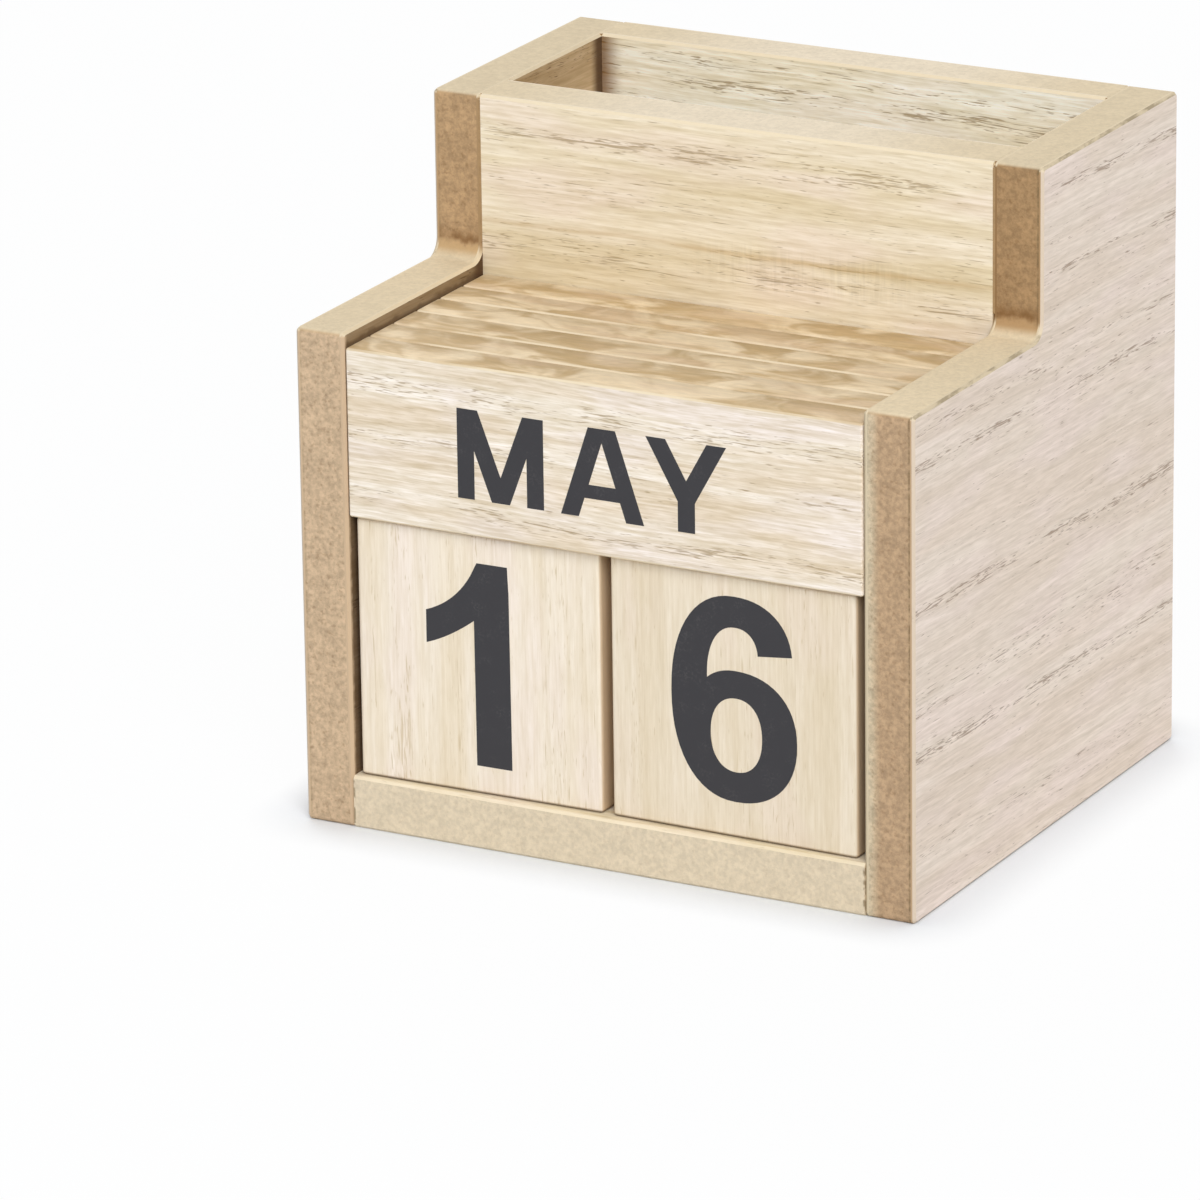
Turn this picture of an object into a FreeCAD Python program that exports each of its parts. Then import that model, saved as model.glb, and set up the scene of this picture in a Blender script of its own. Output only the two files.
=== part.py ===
"""Perpetual desk calendar with a pen well, glued together from veneered boards.

X runs to the right, Y to the back and Z up, in millimetres. The origin is the middle of the
footprint, on the table. Two stepped side boards hold a base, a partition and a back. In front of
the partition is the calendar bay, with two number cubes and, on top of them, a row of month
plates that stand on edge. Behind the partition is the pen well, open at the top.
"""
import FreeCAD
import Part
import math
import os
from FreeCAD import Vector

# Boards: a fibreboard core with a face veneer glued on each side.
board = 6.0                # sides, base and back, veneers included
partition_board = 7.0      # partition, veneers included
veneer = 0.5
arris = 0.3                # sanded bevel along the veneers' free edges
outline_round = 0.6        # rounding of the side boards' outer corners
step_round = 2.0           # inner corner of the side boards' step

# Number cubes.
cube_edge = 30.0
cube_round = 0.5
cube_width_play = 3.0      # what two cubes leave free across the bay
cube_depth_play = 1.4      # what a cube leaves free from front to back
cube_skew = 0.45           # how far one end of a cube's front stands behind the other
cube_side_gap = 0.1        # left cube to left side board, at its nearest
cube_rear_gap = 0.1        # cube to partition, at its nearest
cube_gap = 1.2             # one cube to the other, at their nearest

# Month plates.
plate_count = 6
plate_height = 19.3
plate_round = 0.3
plate_gap = 0.2            # one plate to the next, and half of it before and behind the row
plate_end_gap = 0.15       # plate's end to a side board
plate_rest_gap = 0.1       # clearance that lets a cube slide out under the plates
plate_drop = 1.6           # plates' tops below the side boards' lower tops

# Pen well.
pen_well_depth = 21.6
upper_rise = 19.0          # how far the pen well stands above the side boards' lower tops

# What follows from them.
bay_width = 2 * cube_edge + cube_width_play
bay_depth = cube_edge + cube_depth_play
width = bay_width + 2 * board
depth = bay_depth + partition_board + pen_well_depth + board
plate_bottom = board + cube_edge + plate_rest_gap
front_height = plate_bottom + plate_height + plate_drop
rear_height = front_height + upper_rise

front_y = -depth / 2
rear_y = depth / 2
partition_y = front_y + bay_depth
back_y = rear_y - board
side_x = bay_width / 2     # inner faces of the side boards


def rounded_outline(corners):
    """Closed wire through (point, radius) corners, each one rounded to its radius."""
    points = [point for point, _ in corners]
    count = len(points)
    runs = []
    for i, (point, radius) in enumerate(corners):
        to_last = (points[i - 1] - point).normalize()
        to_next = (points[(i + 1) % count] - point).normalize()
        half_angle = to_last.getAngle(to_next) / 2
        reach = radius / math.tan(half_angle)
        middle = (to_last + to_next).normalize() * (radius / math.sin(half_angle) - radius)
        runs.append((point + to_last * reach, point + middle, point + to_next * reach))
    edges = []
    for i, (start, middle, end) in enumerate(runs):
        edges.append(Part.Arc(start, middle, end).toShape())
        edges.append(Part.LineSegment(end, runs[(i + 1) % count][0]).toShape())
    return Part.Wire(edges)


def eased(solid, is_free):
    """Takes the arris off the edges whose ends and middle all lie where is_free(point) holds."""
    def samples(edge):
        middle = edge.valueAt((edge.FirstParameter + edge.LastParameter) / 2)
        return [vertex.Point for vertex in edge.Vertexes] + [middle]

    edges = [edge for edge in solid.Edges if all(is_free(point) for point in samples(edge))]
    return solid.makeChamfer(min(arris, 0.9 * veneer), edges)


def same(a, b):
    return abs(a - b) < 1e-6


def side_board(outer_x, inward):
    """Core, outer veneer and inner veneer of a stepped side board.

    outer_x is its outer face, and inward is +1 or -1, the way from that face to the other."""
    corners = [((front_y, 0), outline_round), ((rear_y, 0), outline_round),
               ((rear_y, rear_height), outline_round), ((partition_y, rear_height), outline_round),
               ((partition_y, front_height), step_round), ((front_y, front_height), outline_round)]

    def layer(start, thickness):
        x = outer_x + inward * start
        outline = rounded_outline([(Vector(x, y, z), radius) for (y, z), radius in corners])
        return Part.Face(outline).extrude(Vector(inward * thickness, 0, 0))

    inner_x = outer_x + inward * board
    outer = eased(layer(0, veneer), lambda point: same(point.x, outer_x))
    core = layer(veneer, board - 2 * veneer)
    inner = eased(layer(board - veneer, veneer), lambda point: same(point.x, inner_x))
    return core, outer, inner


def cross_board(start, size, along, is_free):
    """Core, low veneer and high veneer of a board between the side boards.

    start is its lowest corner, size its three lengths, and along the axis (1 for Y, 2 for Z) that
    the veneers are stacked on. is_free(point) tells which edges of the faces are open to view."""
    def layer(offset, thickness):
        corner, lengths = Vector(start), Vector(size)
        corner[along] = start[along] + offset
        lengths[along] = thickness
        return Part.makeBox(lengths.x, lengths.y, lengths.z, corner)

    def face_veneer(offset, face):
        return eased(layer(offset, veneer),
                     lambda point: same(point[along], face) and is_free(point))

    low, high = start[along], start[along] + size[along]
    core = layer(veneer, size[along] - 2 * veneer)
    return core, face_veneer(0, low), face_veneer(size[along] - veneer, high)


def base_board():
    return cross_board(Vector(-side_x, front_y, 0), Vector(bay_width, depth, board), 2,
                       lambda point: same(point.y, front_y) or same(point.y, rear_y))


def upright_board(y, thickness):
    return cross_board(Vector(-side_x, y, board), Vector(bay_width, thickness, rear_height - board),
                       1, lambda point: same(point.z, rear_height))


def number_cube(centre_x, turn):
    """A number cube on the base, turned a little by hand about its own upright axis."""
    corner = Vector(-cube_edge / 2, -cube_edge / 2, 0)
    cube = Part.makeBox(cube_edge, cube_edge, cube_edge, corner)
    cube = cube.makeFillet(cube_round, cube.Edges)
    cube.rotate(Vector(0, 0, 0), Vector(0, 0, 1), math.degrees(turn))
    cube.translate(Vector(centre_x, partition_y - cube_rear_gap - cube_reach / 2, board))
    return cube


def month_plate(index):
    """The plate at that place in the row, 0 in front, standing above the cubes."""
    pitch = bay_depth / plate_count
    length = bay_width - 2 * plate_end_gap
    corner = Vector(-length / 2, front_y + plate_gap / 2 + index * pitch, plate_bottom)
    plate = Part.makeBox(length, pitch - plate_gap, plate_height, corner)
    return plate.makeFillet(plate_round, plate.Edges)


cube_turn = math.asin(cube_skew / cube_edge)
cube_reach = cube_edge * (math.cos(cube_turn) + math.sin(cube_turn))   # a turned cube's extent
tens_x = -side_x + cube_side_gap + cube_reach / 2
units_x = tens_x + cube_reach + cube_gap

parts = {}
parts["left_side_core"], parts["left_side_outer_veneer"], parts["left_side_inner_veneer"] = \
    side_board(-width / 2, 1)
parts["right_side_core"], parts["right_side_outer_veneer"], parts["right_side_inner_veneer"] = \
    side_board(width / 2, -1)
parts["base_core"], parts["base_bottom_veneer"], parts["base_top_veneer"] = base_board()
parts["partition_core"], parts["partition_front_veneer"], parts["partition_rear_veneer"] = \
    upright_board(partition_y, partition_board)
parts["back_core"], parts["back_inner_veneer"], parts["back_outer_veneer"] = \
    upright_board(back_y, board)
parts["tens_cube"] = number_cube(tens_x, cube_turn)
parts["units_cube"] = number_cube(units_x, -cube_turn)
for index in range(plate_count):
    parts[f"month_plate_{index + 1}"] = month_plate(index)

os.makedirs("parts", exist_ok=True)
for name, shape in parts.items():
    shape.exportStep(f"parts/{name}.step")
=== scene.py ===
"""Looks of the perpetual desk calendar with pen well: woods, printed dates, light and camera."""
import bmesh
import bpy
import math
from mathutils import Matrix, Vector
from mathutils.geometry import delaunay_2d_cdt

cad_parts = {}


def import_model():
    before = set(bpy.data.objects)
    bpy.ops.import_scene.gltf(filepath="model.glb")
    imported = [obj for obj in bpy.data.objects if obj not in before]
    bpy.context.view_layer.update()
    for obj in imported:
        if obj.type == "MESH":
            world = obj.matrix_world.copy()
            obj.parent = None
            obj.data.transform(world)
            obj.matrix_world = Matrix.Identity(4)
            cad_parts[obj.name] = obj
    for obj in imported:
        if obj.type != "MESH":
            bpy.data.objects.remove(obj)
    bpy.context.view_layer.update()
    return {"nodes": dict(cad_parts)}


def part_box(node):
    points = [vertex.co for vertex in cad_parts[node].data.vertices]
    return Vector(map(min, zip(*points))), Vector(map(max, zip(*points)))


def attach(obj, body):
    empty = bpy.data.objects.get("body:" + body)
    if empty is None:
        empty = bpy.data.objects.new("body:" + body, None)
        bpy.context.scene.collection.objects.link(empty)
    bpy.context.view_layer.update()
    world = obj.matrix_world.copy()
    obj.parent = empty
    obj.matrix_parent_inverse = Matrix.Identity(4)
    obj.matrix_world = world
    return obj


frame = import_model()
nodes = frame["nodes"]

MM = 0.001

# Places and small forms of the CAD model, in millimetres.
PLATE_COUNT = sum(name.startswith("month_plate_") for name in nodes)
PLATE_DROP = 1.6           # from the side boards' lower tops down to the plates' tops
PLATE_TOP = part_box("month_plate_1")[1].z / MM
STEP_Z = PLATE_TOP + PLATE_DROP                        # the side boards' lower tops
CORE_X = [corner.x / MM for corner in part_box("right_side_core")]
JOINT_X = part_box("base_core")[1].x / MM                # where cross boards meet side boards
CUBE_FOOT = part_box("tens_cube")[0].z / MM
BAY_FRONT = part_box("left_side_inner_veneer")[0].y / MM
PARTITION_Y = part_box("partition_front_veneer")[0].y / MM
BACK_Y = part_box("back_inner_veneer")[0].y / MM
ARRIS = 0.3                # sanded bevel along the veneers' free edges
OUTLINE_ROUND = 0.6        # the side boards' outer corners
STEP_ROUND = 2.0           # the inner corner of their step
GLUE_SUNK = 0.01           # how far the glue in a joint lies under the surface


# ---------------------------------------------------------------- colours (sRGB, 0 to 255)
def srgb(red, green, blue):
    """The colour as Blender's nodes take it."""
    def linear(value):
        value /= 255
        return value / 12.92 if value <= 0.04045 else ((value + 0.055) / 1.055) ** 2.4
    return (linear(red), linear(green), linear(blue), 1.0)


INK = srgb(60, 59, 62)
INK_WORN = srgb(74, 72, 74)

BOARD_EDGES = {              # sawn front edges of the side boards, below and above the step
    "left": (srgb(206, 179, 147), srgb(188, 156, 118)),
    "right": (srgb(190, 160, 127), srgb(172, 140, 102))}
BOARD_BURNT = srgb(128, 92, 54)          # where the cutter turned in the step's corner
BOARD_SPECK = srgb(128, 96, 62)
FILLET_TAN = {"left": srgb(202, 170, 126), "right": srgb(186, 152, 110)}
BOARD_TOP = srgb(226, 209, 178)          # sanded fibreboard that faces up
LOWER_TOP_PAINTED_LIGHT = {"left": 0.972, "right": 1.045}   # painted light and shade on the lower tops, per side
UPPER_TOP_PAINTED_LIGHT = 0.965
BASE_EDGE = srgb(224, 208, 181)
CROSS_TOP = srgb(237, 223, 199)          # tops of the partition and the back
BASE_SPECK = srgb(176, 150, 116)
GLUE = srgb(132, 112, 80)

VENEER_RIM = srgb(218, 200, 178)
VENEER_STAIN = srgb(150, 134, 108)       # glue along a side board's outer top edge
INNER_RIMS = {"left": srgb(205, 178, 146), "right": srgb(214, 198, 168)}
INNER_RIMS_HIGH = {"left": srgb(172, 142, 104), "right": srgb(150, 118, 80)}
RIM_FADE = {"left": 0.0, "right": 1.5}   # how far that tone runs into the core, mm
SEAMS = {"left": 0.25, "right": 0.8}     # how dark the glue line by the outer veneer is
SIDE_TONES = (srgb(241, 226, 211), srgb(234, 217, 200), srgb(240, 223, 210))
SIDE_PORE = srgb(156, 132, 112)

CREAM_TONES = (srgb(245, 233, 210), srgb(233, 218, 186), srgb(241, 226, 205))
CREAM_PORE = srgb(152, 126, 84)
OLIVE = srgb(204, 176, 128)
# Painted light: the cream veneer made paler inside the pen well, where less light reaches it.
WELL_FACE_PAINTED_LIGHT_TONES = (srgb(255, 251, 236), srgb(251, 241, 217), srgb(254, 246, 231))
SAW_MARKS_AT = (9.5, 60.5)    # x and z of their middle, mm
SAW_MARKS_WIDE = (8.0, 17.0)  # how far from it, in x, they begin to fade and are gone
SAW_MARKS_HIGH = (1.2, 3.4)   # and in z

WELL_TONES = (srgb(212, 185, 148), srgb(188, 159, 120), srgb(202, 173, 136))
WELL_PORE = srgb(112, 82, 48)
# Painted shade: in the pen well's corners, along the plates' ends and along the cubes' feet.
PAINTED_SHADE_DARK = srgb(84, 58, 36)
# Painted shade in the pen well's left corner, on the partition's rear and the back's inner face.
PAINTED_SHADE_BROWN = srgb(134, 90, 36)
CORNER_SHADE_REACH = 2.9           # how far the painted shade in a pen-well corner reaches, mm
BAY_PAINTED_SHADE = 0.54             # painted shade on the side boards' inner faces inside the bay: the factor on their colour
WEAR_AND_LIGHT_REACH = 0.7             # how far the pale wear of their front edge goes into the bay, where it also takes back the painted bay shade, mm

TENS_TONES = (srgb(246, 234, 216), srgb(238, 223, 198), srgb(244, 230, 214))
UNITS_TONES = (srgb(238, 224, 201), srgb(231, 215, 188), srgb(236, 220, 198))
CUBE_PORE = srgb(202, 178, 138)
CUBE_SIDE = srgb(206, 178, 142)

PLATE_TONES = (srgb(247, 236, 220), srgb(234, 217, 193), srgb(242, 229, 216))
PLATE_PORE = srgb(160, 134, 96)
PLATE_TOP_PALE = srgb(234, 214, 181)
PLATE_TOP_TAN = srgb(193, 166, 124)
PLATE_TOP_ROSE = srgb(214, 188, 158)
# Pale arrises: sanded edges with a painted highlight, strongest on the plates' front-facing
# arrises.
SANDED_ARRIS_AND_HIGHLIGHT = srgb(238, 222, 192)
PLATE_REAR_SHADE = 0.89      # painted shade: the factor on a plate's top at its rear edge
REAR_RIM = 0.3               # how strong the rear plate's painted rim highlight is, the others' being 1
PLATE_TOP_SHIFT = (37.0, 9.0, 0.0)   # from one plate top's figure to the next one's, mm

# Roughness, depth of the relief in mm, and gloss.
FIBREBOARD = (0.9, 0.04, 0.12)
VENEER = (0.7, 0.02, 0.2)
CUBE_WOOD = (0.65, 0.015, 0.25)
PLATE_WOOD = (0.65, 0.02, 0.2)
MATT_INK = (0.7, 0.005, 0.25)
DRY_GLUE = (0.9, 0.03, 0.12)


# ---------------------------------------------------------------- material building
COLOUR_A, COLOUR_B, COLOUR_OUT = 6, 7, 2      # the colour sockets of a Mix node


class Paint:
    """A material under construction. Its methods add nodes and return their output sockets."""

    def __init__(self, name):
        self.material = bpy.data.materials.new(name)
        self.material.use_nodes = True
        self.tree = self.material.node_tree
        self.tree.nodes.clear()
        coordinates = self.node("ShaderNodeTexCoord", {})
        place = self.vector("MULTIPLY", coordinates.outputs["Object"], (1 / MM,) * 3)
        self.place = place                                   # millimetres
        self.x, self.y, self.z = self.split(place)
        self.nx, self.ny, self.nz = self.split(coordinates.outputs["Normal"])

    def node(self, kind, inputs, **settings):
        """Adds a node. inputs gives its sockets their values, or the sockets to link them to."""
        made = self.tree.nodes.new(kind)
        for key, value in settings.items():
            setattr(made, key, value)
        for key, value in inputs.items():
            if isinstance(value, bpy.types.NodeSocket):
                self.tree.links.new(value, made.inputs[key])
            else:
                made.inputs[key].default_value = value
        return made

    def math(self, operation, *values):
        made = self.node("ShaderNodeMath", dict(enumerate(values)), operation=operation)
        return made.outputs[0]

    def times(self, product, *others):
        """The product of all the values."""
        for value in others:
            product = self.math("MULTIPLY", product, value)
        return product

    def distance(self, value, middle):
        """How far the value lies from the middle, either way."""
        return self.math("ABSOLUTE", self.math("SUBTRACT", value, middle))

    def vector(self, operation, *values):
        made = self.node("ShaderNodeVectorMath", dict(enumerate(values)), operation=operation)
        return made.outputs[0]

    def split(self, vector):
        return self.node("ShaderNodeSeparateXYZ", {0: vector}).outputs

    def join(self, x, y, z):
        return self.node("ShaderNodeCombineXYZ", {0: x, 1: y, 2: z}).outputs[0]

    def noise(self, vector, size, detail=2.0, roughness=0.5, distortion=0.0):
        """Noise from 0 to 1 about 0.5. size is its blotches' spacing along each axis, in mm."""
        scaled = self.vector("DIVIDE", vector, size)
        return self.node("ShaderNodeTexNoise", {
            "Vector": scaled, "Scale": 1.0, "Detail": detail, "Roughness": roughness,
            "Distortion": distortion}).outputs[0]

    def step(self, value, low, high, start=0.0, end=1.0):
        """Eases from start to end as the value goes from low to high."""
        return self.node("ShaderNodeMapRange", {
            "Value": value, "From Min": low, "From Max": high, "To Min": start, "To Max": end},
            interpolation_type="SMOOTHSTEP").outputs[0]

    def fall(self, value, low, high, start=1.0):
        """Eases from start to 0 as the value goes from low to high."""
        return self.step(value, low, high, start, 0.0)

    def mix(self, factor, a, b, blend="MIX"):
        made = self.node("ShaderNodeMix", {0: factor, COLOUR_A: a, COLOUR_B: b},
                         data_type="RGBA", blend_type=blend)
        return made.outputs[COLOUR_OUT]

    def shade(self, colour, factor, warmth=0.0):
        """The colour times a factor near 1. With warmth it also yellows as it darkens."""
        green = self.math("MULTIPLY_ADD", factor, 1 + 0.3 * warmth, -0.3 * warmth)
        blue = self.math("MULTIPLY_ADD", factor, 1 + warmth, -warmth)
        return self.mix(1.0, colour, self.join(factor, green, blue), "MULTIPLY")

    def finish(self, colour, height, roughness, depth, specular):
        """Ends the material. height is a 0 to 1 relief, depth its size in mm."""
        bump = self.node("ShaderNodeBump", {"Height": height, "Distance": depth * MM,
                                            "Strength": 1.0})
        shader = self.node("ShaderNodeBsdfPrincipled", {
            "Base Color": colour, "Roughness": roughness, "Specular IOR Level": specular,
            "Normal": bump.outputs[0]})
        self.node("ShaderNodeOutputMaterial", {"Surface": shader.outputs[0]})
        return self.material


TREE_SHIFT = (131.0, 57.0, 23.0)     # from one seed's wood to the next one's, mm


class Grain:
    """Where a point lies in the wood, in mm: along the grain, across it and through the board."""

    def __init__(self, paint, axis, seed, tilt=0.0, wander=0.5):
        """axis is the grain's, tilt its slope, wander how far it strays in mm, seed its tree."""
        along, across, through = {
            "X": (paint.x, paint.z, paint.y),
            "Y": (paint.y, paint.z, paint.x),
            "Z": (paint.z, paint.x, paint.y)}[axis]
        across = paint.math("ADD", across, paint.times(along, tilt))
        shift = tuple(step * seed for step in TREE_SHIFT)
        place = paint.vector("ADD", paint.join(along, across, through), shift)
        wave = paint.noise(place, (30.0, 9.0, 9.0), 2.0)
        wave = paint.times(paint.math("SUBTRACT", wave, 0.5), 2 * wander)
        self.across = paint.math("ADD", across, wave)
        self.place = paint.vector("ADD", place, paint.join(0.0, wave, 0.0))


def fibres(paint, grain):
    """Fine hair of the wood, 0 to 1."""
    return paint.noise(grain.place, (7.0, 0.22, 0.22), 2.0, 0.6)


def wood_colour(paint, grain, tones, contrast, warmth):
    """Soft bands of two tones, blushes of a third, and streaks and fibres on them."""
    pale, warm, blush = tones
    band = paint.noise(grain.place, (60.0, 3.8, 3.8), 2.0)
    colour = paint.mix(paint.step(band, 0.36, 0.66), pale, warm)
    cloud = paint.noise(grain.place, (17.0, 5.0, 5.0), 1.0)
    colour = paint.mix(paint.step(cloud, 0.45, 0.68), colour, blush)
    for size, share in (((24.0, 0.70, 0.70), 0.9), ((3.5, 0.40, 0.40), 0.9),
                        ((6.0, 0.20, 0.20), 0.7)):
        streak = paint.noise(grain.place, size, 2.0, 0.6)
        factor = paint.step(streak, 0.30, 0.70, 1 - share * contrast, 1 + 0.7 * share * contrast)
        colour = paint.shade(colour, factor, warmth)
    return colour


def row_mask(paint, grain, rows):
    """1 in rows along the grain that hold many pores, each row a (middle, half width, share)."""
    patch = paint.step(paint.noise(grain.place, (13.0, 1.6, 1.6), 2.0), 0.34, 0.58, 0.15, 1.0)
    mask = 0.0
    for middle, half, share in rows:
        off = paint.distance(grain.across, middle)
        mask = paint.math("MAXIMUM", mask, paint.fall(off, 0.3 * half, 1.2 * half, share))
    return paint.times(mask, patch)


def pores(paint, grain, rows, share=0.3):
    """Open pores, 0 to 1: thin dashes along the grain, dense in the rows and rare elsewhere."""
    lines = paint.noise(grain.place, (38.0, 1.1, 1.1), 1.0)
    dense = paint.step(lines, 0.50, 0.66, 0.0, share)
    dense = paint.math("MAXIMUM", dense, row_mask(paint, grain, rows))
    found = 0.0
    for size, bare in (((1.5, 0.17, 0.17), 0.80), ((4.2, 0.20, 0.20), 0.80)):
        dash = paint.noise(grain.place, size, 1.0)
        level = paint.math("MULTIPLY_ADD", dense, 0.20, dash)
        found = paint.math("MAXIMUM", found, paint.step(level, bare - 0.10, bare + 0.06))
    return found


def wood_face(paint, grain, tones, pore, rows=(), share=0.3, contrast=0.05, depth=0.75,
              warmth=0.8):
    """Colour and relief of a wood face with its pores."""
    holes = pores(paint, grain, rows, share)
    colour = wood_colour(paint, grain, tones, contrast, warmth)
    colour = paint.mix(paint.times(holes, depth), colour, pore)
    return colour, paint.math("SUBTRACT", fibres(paint, grain), holes)


def off_face(paint, facing, low, high):
    """1 where the surface turns away from that axis, as a veneer's thin edge does, else 0."""
    return paint.fall(paint.math("ABSOLUTE", facing), low, high)


def speckled(paint, colour, speck, strength):
    """Fibreboard's speckle on a colour. Returns the colour and the speckle."""
    blotch = paint.noise(paint.place, (2.2, 2.2, 2.2), 2.0)
    grains = paint.noise(paint.place, (0.62, 0.62, 0.62), 3.0, 0.7)
    factor = paint.times(paint.step(blotch, 0.3, 0.7, 1 - 0.35 * strength, 1.02),
                         paint.step(grains, 0.28, 0.72, 1 - strength, 1 + 0.8 * strength))
    dots = paint.noise(paint.place, (0.45, 0.45, 0.45), 1.0)
    dots = paint.step(dots, 0.55, 0.80, 0.0, min(1.0, 1.8 * strength))
    return paint.mix(dots, paint.shade(colour, factor), speck), grains


def broken(paint, size):
    """Uneven 0 to 1 along a seam."""
    return paint.step(paint.noise(paint.place, (size, size, size), 2.0), 0.38, 0.60)


def behind_bay(paint):
    """0 on the side boards' front edges below the step, 1 on those above it and at the rear."""
    return paint.step(paint.y, PARTITION_Y - 8, PARTITION_Y - 3)


def step_marks(paint, colour, tan):
    """Where the cutter turned in the step's corner: tan, under an uneven burnt line."""
    uneven = paint.noise(paint.place, (0.9, 0.9, 2.2), 3.0, 0.6)
    height = paint.math("SUBTRACT", paint.z, STEP_Z + 0.8)
    height = paint.math("MULTIPLY_ADD", uneven, 1.6, height)
    in_front = paint.fall(paint.y, PARTITION_Y + 6, PARTITION_Y + 8)
    patch = paint.noise(paint.place, (1.6, 1.6, 6.0), 2.0)
    burnt = paint.times(paint.step(height, 1.4, 2.1), paint.fall(height, 2.1, 3.6),
                        paint.step(patch, 0.35, 0.60, 0.25, 0.75), in_front)
    colour = paint.mix(burnt, colour, BOARD_BURNT)
    below = paint.times(paint.fall(height, 1.0, 2.2, 0.85),
                        paint.step(paint.z, STEP_Z - 0.5, STEP_Z), in_front)
    return paint.mix(below, colour, tan)


def side_core(side):
    """Sawn edge of a side board's fibreboard: brown in front, pale on top, burnt at the step."""
    paint = Paint(f"{side}_board_core")
    low, high = BOARD_EDGES[side]
    across = paint.math("ABSOLUTE", paint.x)
    uneven = paint.noise(paint.place, (0.8, 0.8, 6.0), 2.0)
    fade = paint.math("ADD", across, paint.times(uneven, 0.6))
    fade = paint.fall(fade, CORE_X[0] + 0.2, CORE_X[0] + 0.4 + RIM_FADE[side], 0.9)
    low = paint.mix(fade, low, INNER_RIMS[side])
    colour = paint.mix(behind_bay(paint), low, high)
    seam = paint.step(across, CORE_X[1] - 0.32, CORE_X[1] - 0.05, 0.0, SEAMS[side])
    seam = paint.times(seam, paint.math("MULTIPLY_ADD", broken(paint, 0.7), 0.6, 0.4))
    colour = paint.mix(seam, colour, GLUE)
    colour, grains = speckled(paint, colour, BOARD_SPECK, 0.20)
    colour = step_marks(paint, colour, FILLET_TAN[side])
    top, _ = speckled(paint, BOARD_TOP, BASE_SPECK, 0.07)
    # Painted light and shade: the tops lighter or darker below the step per side, and above it.
    painted_light = paint.step(paint.z, STEP_Z + 1, STEP_Z + 5, LOWER_TOP_PAINTED_LIGHT[side], UPPER_TOP_PAINTED_LIGHT)
    top = paint.shade(top, painted_light)
    colour = paint.mix(paint.step(paint.nz, 0.45, 0.99), colour, top)
    return paint.finish(colour, grains, *FIBREBOARD)


def cross_core(name):
    """Edge of a board between the side boards, with a broken dark joint line at each end."""
    paint = Paint(name)
    colour, grains = speckled(paint, BASE_EDGE, BASE_SPECK, 0.10)
    across = paint.math("ABSOLUTE", paint.x)
    seam = paint.times(paint.step(across, JOINT_X - 0.28, JOINT_X - 0.10),
                       paint.fall(paint.nz, 0.3, 0.9, 0.75), broken(paint, 0.9))
    ends = paint.step(across, 8.0, JOINT_X)
    top, _ = speckled(paint, paint.mix(ends, CROSS_TOP, BOARD_TOP), BASE_SPECK, 0.07)
    colour = paint.mix(paint.step(paint.nz, 0.3, 0.9), colour, top)
    return paint.finish(paint.mix(seam, colour, GLUE), grains, *FIBREBOARD)


def rimmed(paint, colour, rim, high):
    """A side veneer's colour with its thin edge: rim low down, high above, and pale on top."""
    rim = paint.mix(behind_bay(paint), rim, high)
    rim = paint.mix(paint.step(paint.nz, 0.10, 0.60), rim, BOARD_TOP)
    return paint.mix(off_face(paint, paint.nx, 0.72, 0.92), colour, rim)


def outer_veneer(side):
    """Outer face of a side board: very pale, with rows of dashes from front to back."""
    paint = Paint(f"{side}_outer_veneer")
    grain = Grain(paint, "Y", {"left": 5.2, "right": 0.3}[side], 0.03)
    rows = {
        "left": ((68.0, 1.3, 0.9), (47.0, 1.6, 0.8), (31.0, 1.0, 1.0), (12.0, 1.8, 0.8)),
        "right": ((72.6, 1.0, 0.9), (63.3, 0.9, 0.9), (53.5, 1.6, 0.6), (50.0, 0.9, 1.0),
                  (33.9, 1.0, 1.0), (23.4, 2.4, 0.6), (17.6, 0.9, 1.0), (6.0, 1.2, 0.5))}[side]
    colour, relief = wood_face(paint, grain, SIDE_TONES, SIDE_PORE, rows, 0.32, 0.07, 0.75, 0.3)
    flat = off_face(paint, paint.nx, 0.2, 0.5)
    low, high = (paint.mix(flat, VENEER_RIM, tone) for tone in BOARD_EDGES[side])
    colour = rimmed(paint, colour, low, high)
    patch = paint.noise(paint.place, (1.0, 3.5, 1.0), 3.0, 0.6)
    stain = paint.times(paint.step(paint.nz, 0.4, 0.6), paint.fall(paint.nz, 0.8, 0.9),
                        paint.step(patch, 0.40, 0.62, 0.15, 0.75))
    return paint.finish(paint.mix(stain, colour, VENEER_STAIN), relief, *VENEER)


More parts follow.
